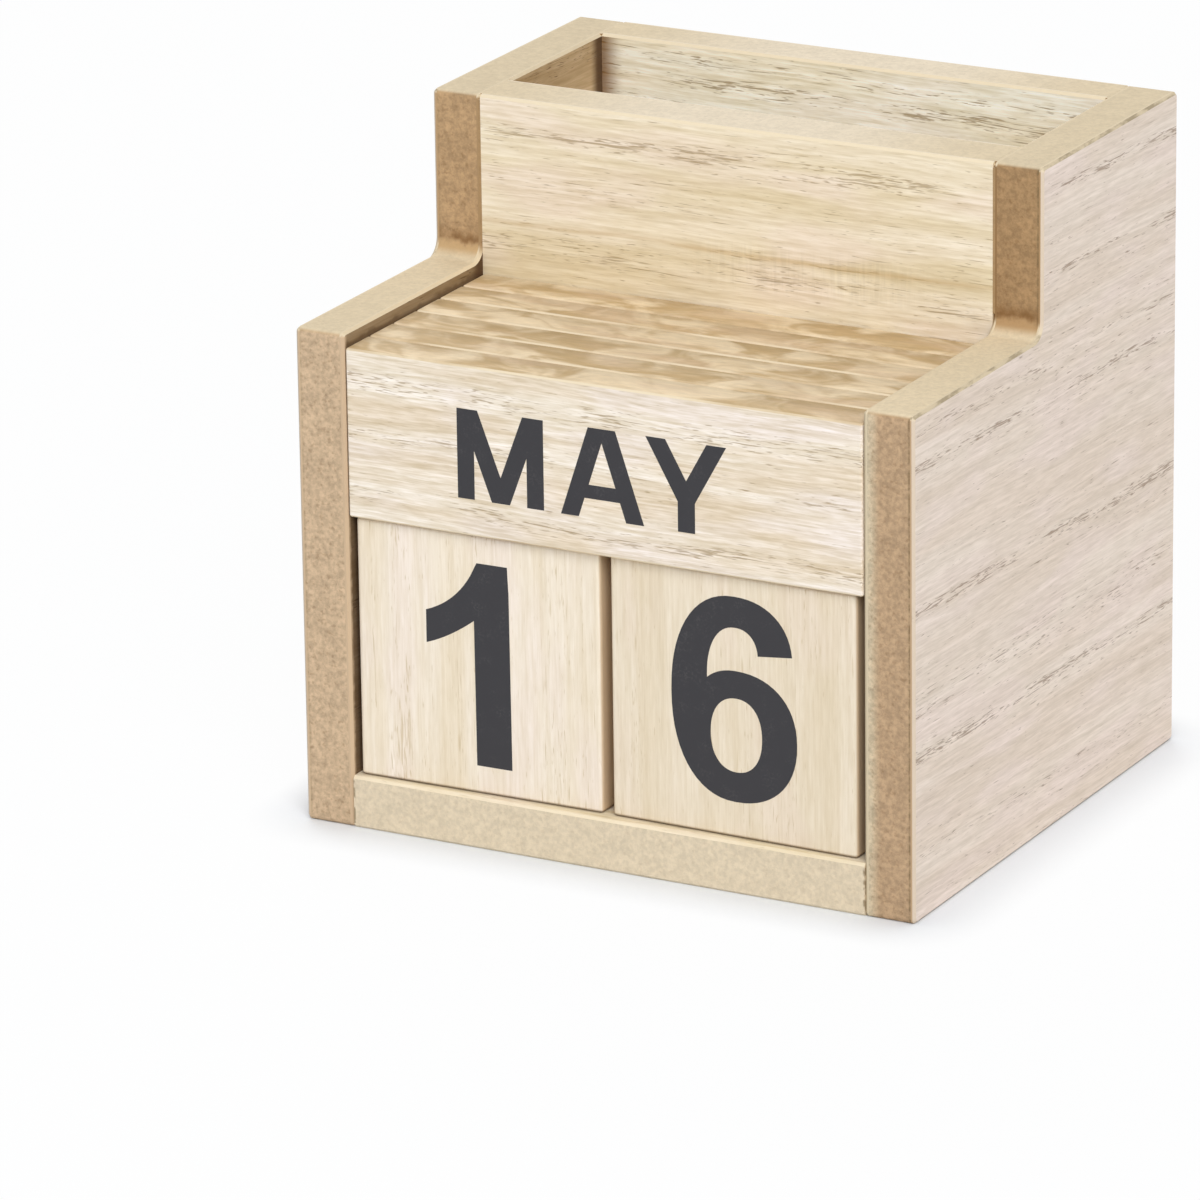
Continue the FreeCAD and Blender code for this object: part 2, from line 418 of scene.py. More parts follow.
def inner_veneer(side):
    """Inner face of a side board: brown and streaked, with painted shade inside the bay, in its
    corners with the other boards and along the plates' ends.
    """
    paint = Paint(f"{side}_inner_veneer")
    grain = Grain(paint, "Y", {"left": 2.3, "right": 7.7}[side], 0.03, 0.8)
    rows = tuple((5.0 + 6.5 * index, 1.2, 0.7) for index in range(12))
    colour, relief = wood_face(paint, grain, WELL_TONES, WELL_PORE, rows, 0.5, 0.09)
    # Painted shade: darker inside the bay, in front of the partition.
    bay = paint.step(paint.y, PARTITION_Y - 0.5, PARTITION_Y + 0.5, BAY_PAINTED_SHADE, 1.0)
    colour = paint.shade(colour, bay)
    # Painted shade in the corners with the partition and the back.
    for corner_y in (PARTITION_Y, BACK_Y):
        near = paint.distance(paint.y, corner_y)
        colour = paint.mix(paint.fall(near, 0.9, CORNER_SHADE_REACH, 0.9), colour, PAINTED_SHADE_DARK)
    # Painted shade: a dark uneven line just above the plates' tops, where their ends meet the
    # board inside the bay.
    plate_end_shade = paint.math("SUBTRACT", paint.z, paint.times(broken(paint, 3.0), 0.35))
    plate_end_shade = paint.times(paint.fall(plate_end_shade, PLATE_TOP - 0.1, PLATE_TOP + 0.5, 0.55),
                        paint.fall(paint.y, PARTITION_Y - 0.5, PARTITION_Y + 0.5))
    colour = paint.mix(plate_end_shade, colour, PAINTED_SHADE_DARK)
    # Pale rim tone at the front edge: wear, and painted light where the painted bay shade fades
    # out towards the front.
    wear_and_light = paint.math("MULTIPLY_ADD", broken(paint, 1.2), 0.15, paint.y)
    wear_and_light = paint.fall(wear_and_light, BAY_FRONT + ARRIS, BAY_FRONT + ARRIS + WEAR_AND_LIGHT_REACH, 0.9)
    colour = paint.mix(wear_and_light, colour, INNER_RIMS[side])
    colour = rimmed(paint, colour, INNER_RIMS[side], INNER_RIMS_HIGH[side])
    return paint.finish(colour, relief, *VENEER)


def saw_marks(paint, colour):
    """Fine pale upright marks of the saw, low on the partition's front."""
    ticks = paint.noise(paint.place, (0.5, 1.0, 7.0), 2.0, 0.6)
    zone = paint.times(paint.fall(paint.distance(paint.x, SAW_MARKS_AT[0]), *SAW_MARKS_WIDE),
                       paint.fall(paint.distance(paint.z, SAW_MARKS_AT[1]), *SAW_MARKS_HIGH),
                       paint.fall(paint.y, PARTITION_Y + 0.1, PARTITION_Y + 0.3))
    marked = paint.shade(colour, paint.step(ticks, 0.36, 0.64, 0.97, 1.045), 0.3)
    return paint.mix(zone, colour, marked)


def cross_veneer(name, facing, tones, grain_facts, rows, share=0.35, contrast=0.072, depth=0.62):
    """Cream veneer of a board between the sides, its grain from side to side.

    facing is the axis its faces look along, and grain_facts are the seed, tilt and wander. The
    last of the rows of pores also has an olive stain."""
    paint = Paint(name)
    grain = Grain(paint, "X", *grain_facts)
    colour, relief = wood_face(paint, grain, tones, CREAM_PORE, rows, share, contrast, depth)
    middle, half, _ = rows[-1]
    patch = paint.step(paint.noise(grain.place, (15.0, 2.0, 2.0), 2.0), 0.35, 0.6, 0.1, 0.6)
    stain = paint.times(patch, paint.fall(paint.distance(grain.across, middle), 0.0, half))
    colour = paint.mix(stain, colour, OLIVE)
    if facing == "Y":
        # Painted shade: browner towards the pen well's left corner.
        corner = paint.times(paint.fall(paint.x, -JOINT_X, CORNER_SHADE_REACH - JOINT_X, 0.85),
                             paint.step(paint.y, PARTITION_Y + 1, PARTITION_Y + 2),
                             paint.fall(paint.y, BACK_Y + 1, BACK_Y + 2))
        colour = paint.mix(corner, colour, PAINTED_SHADE_BROWN)
        colour = saw_marks(paint, colour)
        rim = paint.mix(paint.step(paint.nz, 0.75, 0.9), SANDED_ARRIS_AND_HIGHLIGHT, CROSS_TOP)
        colour = paint.mix(off_face(paint, paint.ny, 0.72, 0.92), colour, rim)
        return paint.finish(colour, relief, *VENEER)
    edge, _ = speckled(paint, BASE_EDGE, BASE_SPECK, 0.10)
    rim = paint.mix(paint.step(paint.nz, 0.3, 0.6), edge, SANDED_ARRIS_AND_HIGHLIGHT)
    colour = paint.mix(off_face(paint, paint.nz, 0.55, 0.9), colour, rim)
    return paint.finish(colour, relief, *VENEER)


def cube_wood(name, tones, seed, rows):
    """Close, even wood with an upright grain, a little browner on the sides, with painted shade
    along its foot.
    """
    paint = Paint(name)
    grain = Grain(paint, "Z", seed, 0.004, 0.3)
    colour, relief = wood_face(paint, grain, tones, CUBE_PORE, rows, 0.45, 0.040, 0.6)
    side = paint.step(paint.math("ABSOLUTE", paint.nx), 0.55, 0.9, 0.0, 0.85)
    colour = paint.mix(side, colour, CUBE_SIDE)
    # Painted shade: darker along the foot, where the cube stands on the base.
    foot = paint.fall(paint.z, CUBE_FOOT + 0.15, CUBE_FOOT + 0.5, 0.75)
    colour = paint.mix(foot, colour, PAINTED_SHADE_DARK)
    return paint.finish(colour, relief, *CUBE_WOOD)


def plate_top(paint, grain, index):
    """Top of a month plate: a soft brown figure, with painted light towards its front and painted
    shade towards the plate's rear.
    """
    front, rear = (corner.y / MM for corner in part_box(f"month_plate_{index}"))
    shift = tuple(step * index for step in PLATE_TOP_SHIFT)
    flat = paint.vector("MULTIPLY_ADD", paint.place, (1.0, 1.0, 0.2), shift)
    flame = paint.noise(flat, (9.0, 5.0, 8.0), 3.0, 0.55, 1.1)
    top = paint.mix(paint.step(flame, 0.37, 0.67), PLATE_TOP_TAN, PLATE_TOP_PALE)
    rose = paint.noise(flat, (15.0, 5.0, 8.0), 2.0)
    top = paint.mix(paint.step(rose, 0.50, 0.66, 0.0, 0.45), top, PLATE_TOP_ROSE)
    for size, reach in (((5.0, 0.6, 0.6), 0.05), ((1.4, 0.45, 0.45), 0.05)):
        streak = paint.noise(grain.place, size, 3.0, 0.6)
        top = paint.shade(top, paint.step(streak, 0.28, 0.72, 1 - reach, 1 + reach))
    # Painted light towards the front of the top, painted shade towards its rear edge.
    return paint.shade(top, paint.step(paint.y, front + 1.0, rear - 0.2, 1.06, PLATE_REAR_SHADE))


def plate_wood(index):
    """A month plate: fine wavy grain on its faces, brown narrow edges with pale rims: sanded
    arrises with a painted highlight, strongest where they face the front and broken unevenly.
    """
    paint = Paint(f"plate_wood_{index}")
    grain = Grain(paint, "X", 1.7 + index, 0.012 * math.sin(2.1 * index), 0.7)
    shift = 1.5 * math.sin(3.7 * (index - 1))
    rows = ((51.6 + shift, 1.5, 0.8), (45.8 - shift, 1.1, 0.7), (38.6 + shift / 2, 1.2, 0.9))
    face, relief = wood_face(paint, grain, PLATE_TONES, PLATE_PORE, rows, 0.28, 0.10, 0.68)
    up = paint.math("ABSOLUTE", paint.nz)
    colour = paint.mix(paint.step(up, 0.20, 0.50), face, plate_top(paint, grain, index))
    wear_and_light = paint.noise(paint.place, (16.0, 3.0, 3.0), 2.0)
    share = REAR_RIM if index == PLATE_COUNT else 1.0
    # Painted highlight on the arrises that face the front, broken unevenly; those facing the rear
    # get little.
    rim = paint.times(paint.step(up, 0.15, 0.40), paint.fall(up, 0.90, 0.985),
                      paint.step(wear_and_light, 0.42, 0.56, 0.3 * share, share),
                      paint.step(paint.ny, 0.0, 0.1, 1.0, 0.1))
    return paint.finish(paint.mix(rim, colour, SANDED_ARRIS_AND_HIGHLIGHT), relief, *PLATE_WOOD)


def ink():
    """Matt screen print, very slightly uneven where the wood's grain shows in it."""
    paint = Paint("print_ink")
    cloud = paint.noise(paint.place, (2.5, 2.5, 2.5), 3.0, 0.6)
    grit = paint.noise(paint.place, (0.25, 0.25, 0.25), 2.0, 0.6)
    wear = paint.times(paint.step(cloud, 0.45, 0.75), paint.step(grit, 0.45, 0.7))
    return paint.finish(paint.mix(wear, INK, INK_WORN), grit, *MATT_INK)


def joint_glue_look():
    """Glue and dust sanded flush with the boards: pale on top, brown in front."""
    paint = Paint("joint_glue")
    colour = paint.mix(paint.step(paint.nz, 0.3, 0.9), INNER_RIMS_HIGH["left"], BOARD_TOP)
    colour, grains = speckled(paint, colour, BASE_SPECK, 0.08)
    return paint.finish(colour, grains, *DRY_GLUE)


def joint_glue(side, way, material):
    """Fills the bevel of a side board's inner veneer where the partition and the back meet it.

    way is -1 on the left and 1 on the right."""
    board = f"{side}_side_inner_veneer"
    rear, top = (value / MM - GLUE_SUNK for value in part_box(board)[1][1:])
    front, behind = PARTITION_Y + GLUE_SUNK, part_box("partition_rear_veneer")[1].y / MM
    runs = (                                  # (y, z) of both ends, and the way into the bevel
        ((front + OUTLINE_ROUND, top), (behind, top), (0, 0, -1)),
        ((BACK_Y, top), (rear - OUTLINE_ROUND, top), (0, 0, -1)),
        ((front, STEP_Z + STEP_ROUND), (front, top - OUTLINE_ROUND), (0, 1, 0)))
    shape = bmesh.new()
    for start, end, into in runs:
        rings = []
        for y, z in (start, end):
            edge = Vector((way * JOINT_X, y, z))
            corners = (edge, edge + Vector((way * ARRIS, 0, 0)), edge + Vector(into) * ARRIS)
            rings.append([shape.verts.new(corner * MM) for corner in corners])
        first, last = rings
        shape.faces.new(first)
        shape.faces.new(last)
        for i in range(3):
            j = (i + 1) % 3
            shape.faces.new((first[i], first[j], last[j], last[i]))
    bmesh.ops.recalc_face_normals(shape, faces=shape.faces)
    mesh = bpy.data.meshes.new(f"{side}_joint_glue")
    shape.to_mesh(mesh)
    shape.free()
    mesh.materials.append(material)
    piece = bpy.data.objects.new(f"{side}_joint_glue", mesh)
    bpy.context.scene.collection.objects.link(piece)
    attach(piece, "case")


def dress(name, material):
    """Gives a CAD node its material."""
    mesh = nodes[name].data
    mesh.materials.clear()
    mesh.materials.append(material)


def dress_case():
    """Materials of the boards that are glued together."""
    for side in ("left", "right"):
        dress(f"{side}_side_core", side_core(side))
        dress(f"{side}_side_outer_veneer", outer_veneer(side))
        dress(f"{side}_side_inner_veneer", inner_veneer(side))
    for board in ("base", "partition", "back"):
        dress(f"{board}_core", cross_core(f"{board}_board_core"))
    open_face = cross_veneer("open_veneer", "Y", CREAM_TONES, (0.9, 0.0, 0.5), (
        (72.0, 1.5, 1.0), (66.5, 2.5, 0.35), (59.3, 1.7, 0.85), (61.8, 0.6, 0.5)))
    # The same cream veneer painted paler inside the pen well, as painted light.
    well_face = cross_veneer("well_veneer", "Y", WELL_FACE_PAINTED_LIGHT_TONES, (4.1, 0.02, 0.7), (
        (74.0, 1.0, 0.7), (71.5, 1.2, 0.9), (67.0, 2.0, 0.6), (50.0, 3.0, 0.6), (30.0, 0.8, 0.6)),
        0.40, 0.095, 0.75)
    base_face = cross_veneer("base_veneer", "Z", CREAM_TONES, (6.4, 0.01, 0.6), (
        (2.0, 2.0, 0.4),))
    for face, material in (("partition_front", open_face), ("back_outer", open_face),
                           ("partition_rear", well_face), ("back_inner", well_face),
                           ("base_top", base_face), ("base_bottom", base_face)):
        dress(f"{face}_veneer", material)


def dress_movers():
    """Materials of the cubes and the plates."""
    dress("tens_cube", cube_wood("tens_cube_wood", TENS_TONES, 0.6, (
        (-25.5, 1.6, 0.8), (-6.0, 1.8, 0.6))))
    dress("units_cube", cube_wood("units_cube_wood", UNITS_TONES, 3.6, ((21.0, 2.5, 0.5),)))
    for index in range(1, PLATE_COUNT + 1):
        dress(f"month_plate_{index}", plate_wood(index))


# ---------------------------------------------------------------- lettering
# Plain block capitals and figures, one unit high. A glyph is a list of overlapping convex
# polygons, which flat_union() joins into one outline.
CURVE_STEP = 6.0           # degrees between the points of a curve
SQUARED = 0.90             # 1 draws plain ellipses, less makes them squarer


class Pen:
    """Draws strokes of two thicknesses: upright ones and level ones."""

    def __init__(self, upright, level):
        self.upright = upright
        self.level = level

    def bar(self, x0, y0, x1, y1):
        """Upright or slanted stroke with level ends, between the middles of its ends."""
        half = self.upright / 2 * math.hypot(x1 - x0, y1 - y0) / abs(y1 - y0)
        return [[(x0 - half, y0), (x0 + half, y0), (x1 + half, y1), (x1 - half, y1)]]

    def beam(self, x0, x1, y):
        """Level stroke, y being the height of its middle."""
        half = self.level / 2
        return [[(x0, y - half), (x1, y - half), (x1, y + half), (x0, y + half)]]

    def bow(self, *runs):
        """Curved stroke through the runs' points, one run after the other."""
        points = [Vector(point) for run in runs for point in run]
        closed = (points[0] - points[-1]).length < 1e-6
        sides = []
        for i, point in enumerate(points):
            before = points[i - 1] if i else points[-2 if closed else 0]
            after = points[i + 1] if i + 1 < len(points) else points[1 if closed else -1]
            along = (after - before).normalized()
            half = math.hypot(self.upright * along.y, self.level * along.x) / 2
            offset = Vector((-along.y, along.x)) * half
            sides.append((point + offset, point - offset))
        return [[a[0], a[1], b[1], b[0]] for a, b in zip(sides, sides[1:])]


def arc(x, y, rx, ry, start, end):
    """Points of an elliptical arc about (x, y), angles in degrees."""
    steps = max(2, round(abs(end - start) / CURVE_STEP))
    angles = [math.radians(start + (end - start) * i / steps) for i in range(steps + 1)]
    return [(x + rx * math.cos(a), y + ry * math.sin(a)) for a in angles]


def curve(start, control, end, steps=12):
    """Points of a quadratic curve."""
    a, b, c = Vector(start), Vector(control), Vector(end)
    shares = [i / steps for i in range(steps + 1)]
    return [a * (1 - t) ** 2 + b * (2 * t * (1 - t)) + c * t * t for t in shares]


def strip(upper, lower):
    """Polygons between two runs of as many points."""
    return [[a, c, d, b] for a, b, c, d in zip(upper, upper[1:], lower, lower[1:])]


def ellipse_points(x, y, rx, ry, start, end):
    """Points of a slightly squared ellipse about (x, y), angles in degrees."""
    steps = max(2, round(abs(end - start) / CURVE_STEP))
    found = []
    for i in range(steps + 1):
        angle = math.radians(start + (end - start) * i / steps)
        reach = [math.copysign(abs(part) ** SQUARED, part)
                 for part in (math.cos(angle), math.sin(angle))]
        found.append((x + rx * reach[0], y + ry * reach[1]))
    return found


def six():
    """The figure 6: a stem that bends over at the top, and a bowl."""
    upper, counter = (0.335, 0.710, 0.118, 0.140), (0.338, 0.326, 0.134, 0.180)
    shoulder = ellipse_points(0.330, 0.50, 0.330, 0.500, 90, 180)
    hip = ellipse_points(0.334, 0.50, 0.334, 0.500, 180, 270)
    stem = [(0.187, 0.60), (counter[0] - counter[2], counter[1])]
    side = [(0.0, 0.5)] * len(stem)
    return (strip(shoulder, ellipse_points(0.335, 0.60, 0.148, 0.250, 90, 180))
            + strip(side, stem)
            + strip(hip, ellipse_points(*counter, 180, 270))
            + strip(ellipse_points(0.330, 0.710, 0.302, 0.290, 90, 6),
                    ellipse_points(*upper, 90, 6))
            + strip(ellipse_points(0.334, 0.324, 0.320, 0.316, 90, 0),
                    ellipse_points(*counter, 90, 0))
            + strip(ellipse_points(0.334, 0.324, 0.320, 0.324, 0, -90),
                    ellipse_points(*counter, 0, -90))
            + strip(ellipse_points(0.334, 0.324, 0.245, 0.316, 90, 180),
                    ellipse_points(*counter, 90, 180)))


def figures():
    """Figures 0 to 8, each with its width. The 6 is also the 9."""
    pen = Pen(0.186, 0.150)
    top, foot = 1 - pen.level / 2, pen.level / 2          # centre lines of level strokes
    middle, reach = 0.32, 0.32 - pen.upright / 2
    flag = strip(curve((0.272, 1.0), (0.185, 0.80), (0.0, 0.735)),
                 curve((0.30, 0.75), (0.14, 0.62), (0.0, 0.573)))
    cap = [[(0.272, 1.0), (0.200, 0.86), (0.438, 0.86), (0.432, 1.0)]]
    return {
        "0": (0.64, strip(ellipse_points(middle, 0.5, middle, 0.5, 0, 360),
                          ellipse_points(middle, 0.5, 0.134, 0.35, 0, 360))),
        "1": (0.445, flag + cap + pen.bar(0.350, 0, 0.345, 0.88)),
        "2": (0.64, pen.bow(arc(middle, 0.70, reach, top - 0.70, 172, -30), [(0.081, 0.083)])
              + pen.beam(0.016, 0.63, foot)),
        "3": (0.63, pen.bow(arc(0.30, 0.737, 0.195, top - 0.737, 165, -90))
              + pen.bow(arc(0.30, 0.314, 0.235, 0.314 - foot, 90, -168))
              + pen.beam(0.215, 0.33, 0.551)),
        "4": (0.66, pen.bar(0.47, 0, 0.47, 1) + pen.beam(0.0, 0.66, 0.285)
              + pen.bar(0.105, 0.355, 0.45, 1)),
        "5": (0.63, pen.beam(0.12, 0.58, top) + pen.bar(0.129, 0.47, 0.19, 1)
              + [[(0.034, 0.442), (0.198, 0.442), (0.222, 0.47), (0.036, 0.47)]]
              + pen.bow(arc(0.305, 0.33, 0.23, 0.33 - foot, 140, -165))),
        "6": (0.654, six()),
        "7": (0.60, pen.beam(0.0, 0.60, top)
              + [[(0.48, 0.86), (0.54, 0.83), (0.60, 0.828), (0.60, 0.86)]]
              + pen.bow(curve((0.53, 0.88), (0.24, 0.49), (0.225, 0.0)))),
        "8": (0.64, pen.bow(arc(middle, 0.745, reach - 0.035, top - 0.745, 0, 360))
              + pen.bow(arc(middle, 0.30, reach, 0.30 - foot, 0, 360))),
    }


def capitals():
    """The capitals that the months' names need, each with its width."""
    pen = Pen(0.203, 0.152)
    half = pen.upright / 2
    top, foot, mid = 1 - pen.level / 2, pen.level / 2, 0.52
    stem = pen.bar(half, 0, half, 1)
    head = pen.bow([(0.1, top), (0.46, top)], arc(0.46, 0.71, 0.24, top - 0.71, 84, -90),
                   [(0.1, 0.71 * 2 - top)])
    return {
        "A": (1.00, pen.bar(0.11, 0, 0.445, 1) + pen.bar(0.89, 0, 0.555, 1)
              + pen.beam(0.25, 0.75, 0.29)),
        "B": (0.84, stem + pen.bow([(0.1, top), (0.45, top)],
                                   arc(0.45, 0.73, 0.23, top - 0.73, 84, -90), [(0.1, 0.545)])
              + pen.bow([(0.1, 0.545), (0.47, 0.545)],
                        arc(0.47, 0.3125, 0.265, 0.3125 - foot, 84, -90), [(0.1, foot)])),
        "C": (0.88, pen.bow(arc(0.45, 0.5, 0.348, 0.5 - foot, 36, 324))),
        "D": (0.86, stem + pen.bow([(0.1, top), (0.38, top)],
                                   arc(0.38, 0.5, 0.378, 0.5 - foot, 84, -90), [(0.1, foot)])),
        "E": (0.76, stem + pen.beam(0, 0.76, top) + pen.beam(0, 0.70, mid)
              + pen.beam(0, 0.76, foot)),
        "F": (0.72, stem + pen.beam(0, 0.72, top) + pen.beam(0, 0.64, mid)),
        "G": (0.92, pen.bow(arc(0.45, 0.5, 0.348, 0.5 - foot, 38, 345))
              + pen.beam(0.50, 0.90, 0.43)
              + [[(0.70, 0.30), (0.739, 0.117), (0.82, 0.165), (0.875, 0.225), (0.90, 0.30),
                  (0.90, 0.50), (0.70, 0.50)]]),
        "H": (0.84, stem + pen.bar(0.84 - half, 0, 0.84 - half, 1) + pen.beam(0, 0.84, mid)),
        "I": (0.205, stem),
        "J": (0.61, pen.bow([(0.5, 1.0), (0.5, 0.6)],
                            arc(0.30, 0.31, 0.20, 0.31 - foot, 0, -180))),
        "L": (0.75, stem + pen.beam(0, 0.75, foot)),
        "M": (1.04, stem + pen.bar(1.04 - half, 0, 1.04 - half, 1)
              + pen.bar(0.52, 0, 0.14, 1) + pen.bar(0.52, 0, 0.90, 1)),
        "N": (0.84, stem + pen.bar(0.84 - half, 0, 0.84 - half, 1) + pen.bar(0.72, 0, 0.12, 1)),
        "O": (0.94, pen.bow(arc(0.47, 0.5, 0.47 - half, 0.5 - foot, 0, 360))),
        "P": (0.80, stem + head),
        "R": (0.86, stem + head + pen.bar(0.74, 0, 0.46, 0.46)),
        "S": (0.82, pen.bow(arc(0.41, 0.71, 0.30, top - 0.71, 22, 270),
                            arc(0.41, 0.29, 0.31, 0.29 - foot, 84, -158))),
        "T": (0.82, pen.bar(0.41, 0, 0.41, 1) + pen.beam(0, 0.82, top)),
        "U": (0.83, pen.bow([(half, 1.0), (half, 0.6)],
                            arc(0.415, 0.33, 0.415 - half, 0.33 - foot, 180, 360),
                            [(0.83 - half, 0.6), (0.83 - half, 1.0)])),
        "V": (0.94, pen.bar(0.445, 0, 0.11, 1) + pen.bar(0.495, 0, 0.83, 1)),
        "Y": (0.96, pen.bar(0.48, 0.36, 0.12, 1) + pen.bar(0.48, 0.36, 0.84, 1)
              + pen.bar(0.48, 0, 0.48, 0.42)
              + [[(0.48 - half, 0.333), (0.48 + half, 0.333), (0.5965, 0.36), (0.3635, 0.36)]]),
    }


GLYPHS = {**figures(), **capitals()}
LETTER_GAP = 0.20
KERNING = {"AY": -0.18, "LY": -0.30, "AR": 0.0, "UA": -0.05}


def flat_union(polygons):
    """Joins overlapping polygons. Returns points, triangles and the outline's directed edges."""
    points, faces = [], []
    for polygon in polygons:
        corners = [Vector(corner) for corner in polygon]
        turned = zip(corners, corners[1:] + corners[:1])
        area = sum(a.x * b.y - b.x * a.y for a, b in turned)
        if area < 0:
            corners.reverse()
        faces.append(list(range(len(points), len(points) + len(corners))))
        points.extend(corners)
    found = delaunay_2d_cdt(points, [], faces, 0, 1e-5, True)
    triangles = [list(face) for face, sources in zip(found[2], found[5]) if sources]
    directed = {(t[i], t[(i + 1) % len(t)]) for t in triangles for i in range(len(t))}
    outline = [(a, b) for a, b in directed if (b, a) not in directed]
    return found[0], triangles, sorted(outline)


def word_polygons(word, height, most_width):
    """The word's polygons in metres, centred on zero, at that height of capitals or less."""
    cursor, placed = 0.0, []
    for letter, following in zip(word, word[1:] + " "):
        width, polygons = GLYPHS[letter]
        placed.extend([[Vector((p[0] + cursor, p[1])) for p in polygon] for polygon in polygons])
        cursor += width + (LETTER_GAP + KERNING.get(letter + following, 0.0))
    length = cursor - LETTER_GAP
    fit = min(1.0, most_width / (length * height))
    tall, wide = height * math.sqrt(fit), height * fit
    return [[Vector(((p.x - length / 2) * wide, (p.y - 0.5) * tall)) for p in polygon]
            for polygon in placed]


INK_PROUD = 0.015 * MM
INK_SUNK = 0.06 * MM


def print_on(name, body, prints, material):
    """One mesh with all the words on a body. prints holds (polygons, face matrix) pairs."""
    vertices, faces = [], []
    for polygons, place in prints:
        points, triangles, outline = flat_union(polygons)
        count, start = len(points), len(vertices)
        for z in (INK_PROUD, -INK_SUNK):
            vertices.extend(place @ Vector((p.x, p.y, z)) for p in points)
        faces.extend([start + i for i in t] for t in triangles)
        faces.extend([start + count + i for i in reversed(t)] for t in triangles)
        faces.extend([start + a, start + count + a, start + count + b, start + b]
                     for a, b in outline)
    mesh = bpy.data.meshes.new(name)
    mesh.from_pydata(vertices, [], faces)
    mesh.materials.append(material)
    piece = bpy.data.objects.new(name, mesh)
    bpy.context.scene.collection.objects.link(piece)
    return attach(piece, body)


def face_place(centre, turn, way, out):
    """Matrix of a face: X to the reader's right, Y up the face and Z out of it.

    way is 0 for the face towards -Y and goes on in quarter turns to the right; "top" and
    "bottom" are the level faces. out is how far the face is from the centre."""
    stand = Matrix.Rotation(math.radians(90), 4, "X")
    if way == "top":
        facing = Matrix.Identity(4)
    elif way == "bottom":
        facing = Matrix.Rotation(math.radians(180), 4, "X")
    else:
        facing = Matrix.Rotation(math.radians(90) * way, 4, "Z") @ stand
    spin = Matrix.Rotation(turn, 4, "Z")
    return Matrix.Translation(centre) @ spin @ facing @ Matrix.Translation((0, 0, out))


FIGURE_HEIGHT = 23.4 * MM
FIGURE_SHIFT = {"1": (-1.25, 0.0), "6": (0.1, 0.85)}      # off the face's middle, mm
CUBE_FACES = (0, 1, 2, 3, "top", "bottom")


def print_cube(name, digits, way_round, material):
    """Prints a cube's six figures, for its front, right, back, left, top and bottom."""
    low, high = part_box(name)
    edge = high.z - low.z
    skew = math.asin((high.x - low.x) / (edge * math.sqrt(2))) - math.radians(45)
    prints = []
    for digit, way in zip(digits, CUBE_FACES):
        shift = [value * MM for value in FIGURE_SHIFT.get(digit, (0.0, 0.0))]
        place = face_place((low + high) / 2, way_round * skew, way, edge / 2)
        place = place @ Matrix.Translation((shift[0], shift[1], 0))
        prints.append((word_polygons(digit, FIGURE_HEIGHT, edge), place))
    return print_on(f"{name}_figures", name, prints, material)


MONTHS = ("MAY JUNE JULY AUGUST SEPTEMBER OCTOBER NOVEMBER DECEMBER "
          "JANUARY FEBRUARY MARCH APRIL").split()
MONTH_HEIGHT = 10.2 * MM
MONTH_LENGTH = 54.0 * MM
MONTH_BASELINE = 4.2 * MM          # above the plate's lower edge
MONTH_SHIFT = -1.2 * MM


def print_plate(index, material):
    """Prints one month on each face of a plate."""
    name = f"month_plate_{index}"
    low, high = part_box(name)
    middle = (low + high) / 2
    middle.z = low.z + MONTH_BASELINE + MONTH_HEIGHT / 2
    prints = []
    for way, month in ((0, MONTHS[2 * index - 2]), (2, MONTHS[2 * index - 1])):
        place = face_place(middle, 0.0, way, (high.y - low.y) / 2)
        place = place @ Matrix.Translation((MONTH_SHIFT, 0, 0))
        prints.append((word_polygons(month, MONTH_HEIGHT, MONTH_LENGTH), place))
    return print_on(f"{name}_words", name, prints, material)


# ---------------------------------------------------------------- light, floor and camera
WORLD_LIGHT = 0.42         # strength of the world as a light
LAMP_AIM = (0.0, 0.0, 0.04)
LAMP_SIZE = 1.0
LAMPS = {                  # place in metres, and power in watts
    "key": ((0.72, -1.05, 1.15), 20.0),
    "rear": ((-1.00, 1.20, 0.90), 8.0)}
FLOOR_SIZE = 6.0
FLOOR_DROP = 0.02 * MM     # keeps the floor from lying in the object's underside
FLOOR_COLOUR = (0.83, 0.86, 0.90, 1.0)
FLOOR_GLOW = 0.955         # share of plain white in what the camera sees of the open floor
CONTACT_REACH = 8 * MM     # how far the dark line where the object stands fades out
CONTACT_DARKEST = 0.6      # open share of a point's surroundings at which that glow is gone
WHITE = (1.0, 1.0, 1.0, 1.0)


def joined_rays(tree, path):
    """1 for the rays that show the backdrop: seen directly, in a reflection or through glass."""
    seen = path.outputs["Is Camera Ray"]
    for other in ("Is Glossy Ray", "Is Transmission Ray"):
        either = tree.nodes.new("ShaderNodeMath")
        either.operation = "MAXIMUM"
        tree.links.new(seen, either.inputs[0])
        tree.links.new(path.outputs[other], either.inputs[1])
        seen = either.outputs[0]
    return seen


def world():
    """White to the camera and in reflections, softer as a light."""
    made = bpy.data.worlds.new("studio")
    bpy.context.scene.world = made
    made.use_nodes = True
    tree = made.node_tree
    tree.nodes.clear()
    path = tree.nodes.new("ShaderNodeLightPath")
    seen = joined_rays(tree, path)
    strength = tree.nodes.new("ShaderNodeMapRange")
    strength.inputs["To Min"].default_value = WORLD_LIGHT
    strength.inputs["To Max"].default_value = 1.0
    tree.links.new(seen, strength.inputs["Value"])
    background = tree.nodes.new("ShaderNodeBackground")
    background.inputs["Color"].default_value = WHITE
    tree.links.new(strength.outputs[0], background.inputs["Strength"])
    output = tree.nodes.new("ShaderNodeOutputWorld")
    tree.links.new(background.outputs[0], output.inputs["Surface"])


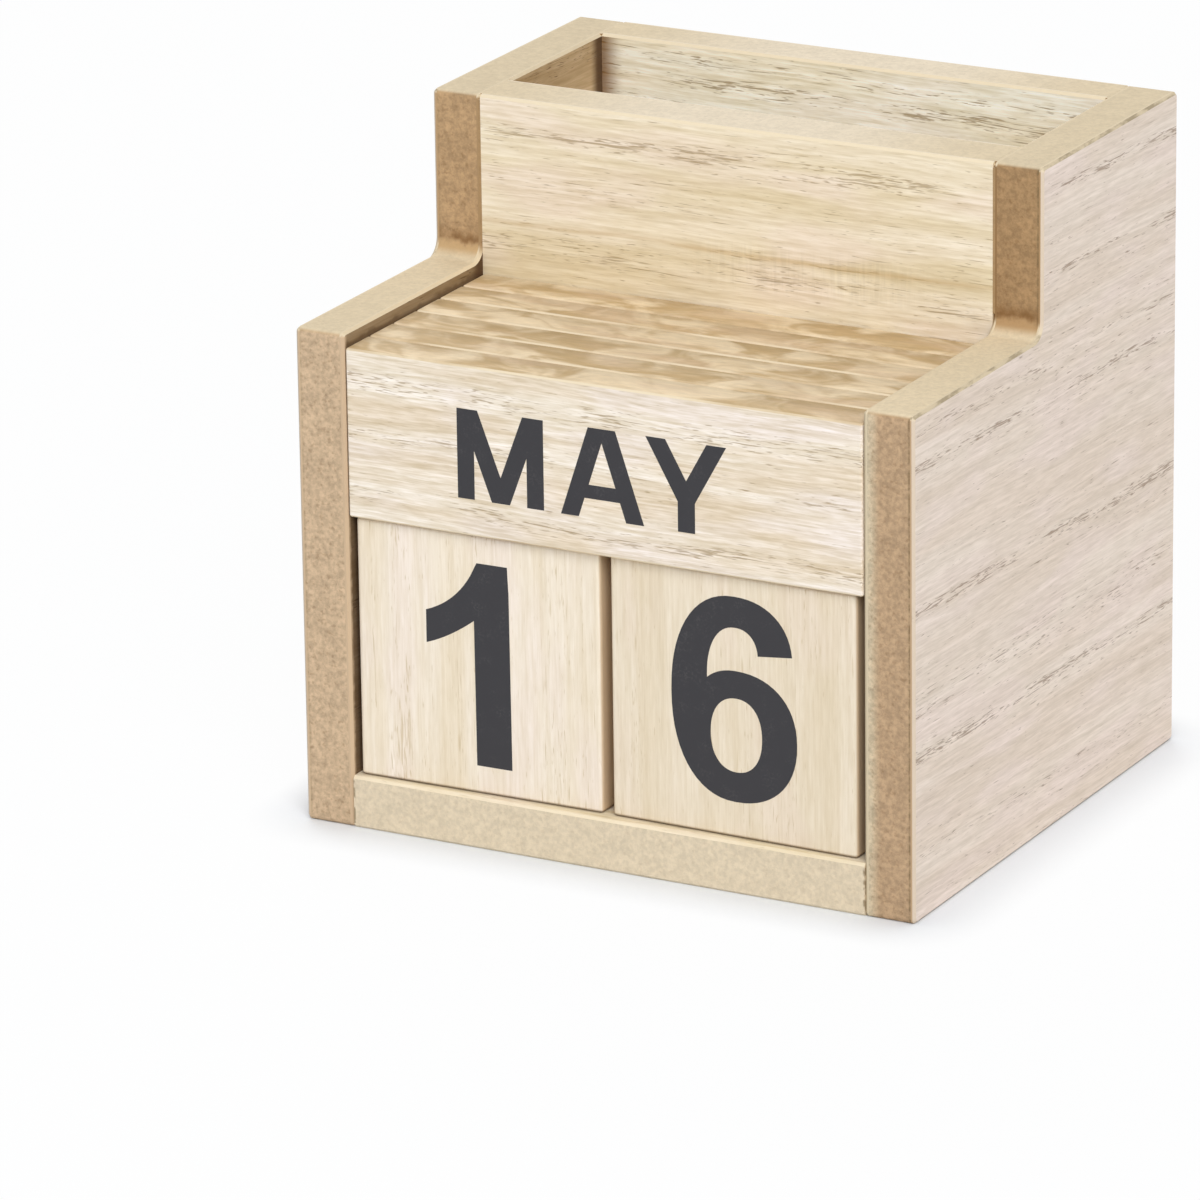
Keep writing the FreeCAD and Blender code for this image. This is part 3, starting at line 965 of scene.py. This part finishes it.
def floor():
    """White table top that keeps the object's soft shadow."""
    half = FLOOR_SIZE / 2
    mesh = bpy.data.meshes.new("floor")
    mesh.from_pydata([(-half, -half, 0), (half, -half, 0), (half, half, 0), (-half, half, 0)],
                     [], [(0, 1, 2, 3)])
    plane = bpy.data.objects.new("floor", mesh)
    plane.location.z = -FLOOR_DROP
    bpy.context.scene.collection.objects.link(plane)
    material = bpy.data.materials.new("floor")
    material.use_nodes = True
    tree = material.node_tree
    tree.nodes.clear()
    matt = tree.nodes.new("ShaderNodeBsdfDiffuse")
    matt.inputs["Color"].default_value = FLOOR_COLOUR
    glow = tree.nodes.new("ShaderNodeEmission")
    glow.inputs["Color"].default_value = WHITE
    glow.inputs["Strength"].default_value = 1.0
    path = tree.nodes.new("ShaderNodeLightPath")
    seen = joined_rays(tree, path)
    near = tree.nodes.new("ShaderNodeAmbientOcclusion")
    near.inputs["Distance"].default_value = CONTACT_REACH
    glowing = tree.nodes.new("ShaderNodeMapRange")
    glowing.inputs["From Min"].default_value = CONTACT_DARKEST
    glowing.inputs["From Max"].default_value = 1.0
    glowing.inputs["To Min"].default_value = 0.0
    glowing.inputs["To Max"].default_value = FLOOR_GLOW
    tree.links.new(near.outputs["AO"], glowing.inputs["Value"])
    lift = tree.nodes.new("ShaderNodeMath")
    lift.operation = "MULTIPLY"
    tree.links.new(glowing.outputs[0], lift.inputs[0])
    tree.links.new(seen, lift.inputs[1])
    mixed = tree.nodes.new("ShaderNodeMixShader")
    tree.links.new(lift.outputs[0], mixed.inputs[0])
    tree.links.new(matt.outputs[0], mixed.inputs[1])
    tree.links.new(glow.outputs[0], mixed.inputs[2])
    output = tree.nodes.new("ShaderNodeOutputMaterial")
    tree.links.new(mixed.outputs[0], output.inputs["Surface"])
    mesh.materials.append(material)


def lights():
    """Square area lamps, aimed at the object."""
    for name, (place, power) in LAMPS.items():
        data = bpy.data.lights.new(name, "AREA")
        data.size = LAMP_SIZE
        data.energy = power
        made = bpy.data.objects.new(name, data)
        made.location = place
        aim = Vector(LAMP_AIM) - Vector(place)
        made.rotation_euler = aim.to_track_quat("-Z", "Y").to_euler()
        bpy.context.scene.collection.objects.link(made)


# The photograph's camera, in degrees and millimetres.
CAMERA_AZIMUTH = 28.4187
CAMERA_ELEVATION = 18.7938
CAMERA_ROLL = -0.7949
CAMERA_DISTANCE = 991.04 * MM
CAMERA_TARGET = Vector((-18.120, 0.0, 18.392)) * MM
CAMERA_LENS = 264.72
SENSOR = 36.0


def camera():
    """Looks at the object as the photograph does."""
    azimuth, elevation = math.radians(CAMERA_AZIMUTH), math.radians(CAMERA_ELEVATION)
    back = Vector((math.sin(azimuth) * math.cos(elevation),
                   -math.cos(azimuth) * math.cos(elevation), math.sin(elevation)))
    data = bpy.data.cameras.new("camera")
    data.lens = CAMERA_LENS
    data.sensor_width = SENSOR
    data.clip_start, data.clip_end = 0.05, 20.0
    made = bpy.data.objects.new("camera", data)
    look = (-back).to_track_quat("-Z", "Y")
    roll = Matrix.Rotation(math.radians(CAMERA_ROLL), 4, "Z")
    made.matrix_world = (Matrix.Translation(CAMERA_TARGET + back * CAMERA_DISTANCE)
                         @ look.to_matrix().to_4x4() @ roll)
    bpy.context.scene.collection.objects.link(made)
    bpy.context.scene.camera = made


# ---------------------------------------------------------------- the scene
dress_case()
dress_movers()
joint_glue_material = joint_glue_look()
joint_glue("left", -1, joint_glue_material)
joint_glue("right", 1, joint_glue_material)
print_ink = ink()
print_cube("tens_cube", "105423", 1, print_ink)
print_cube("units_cube", "621078", -1, print_ink)
for plate in range(1, PLATE_COUNT + 1):
    print_plate(plate, print_ink)
world()
floor()
lights()
camera()
bpy.context.scene.view_settings.view_transform = "Standard"
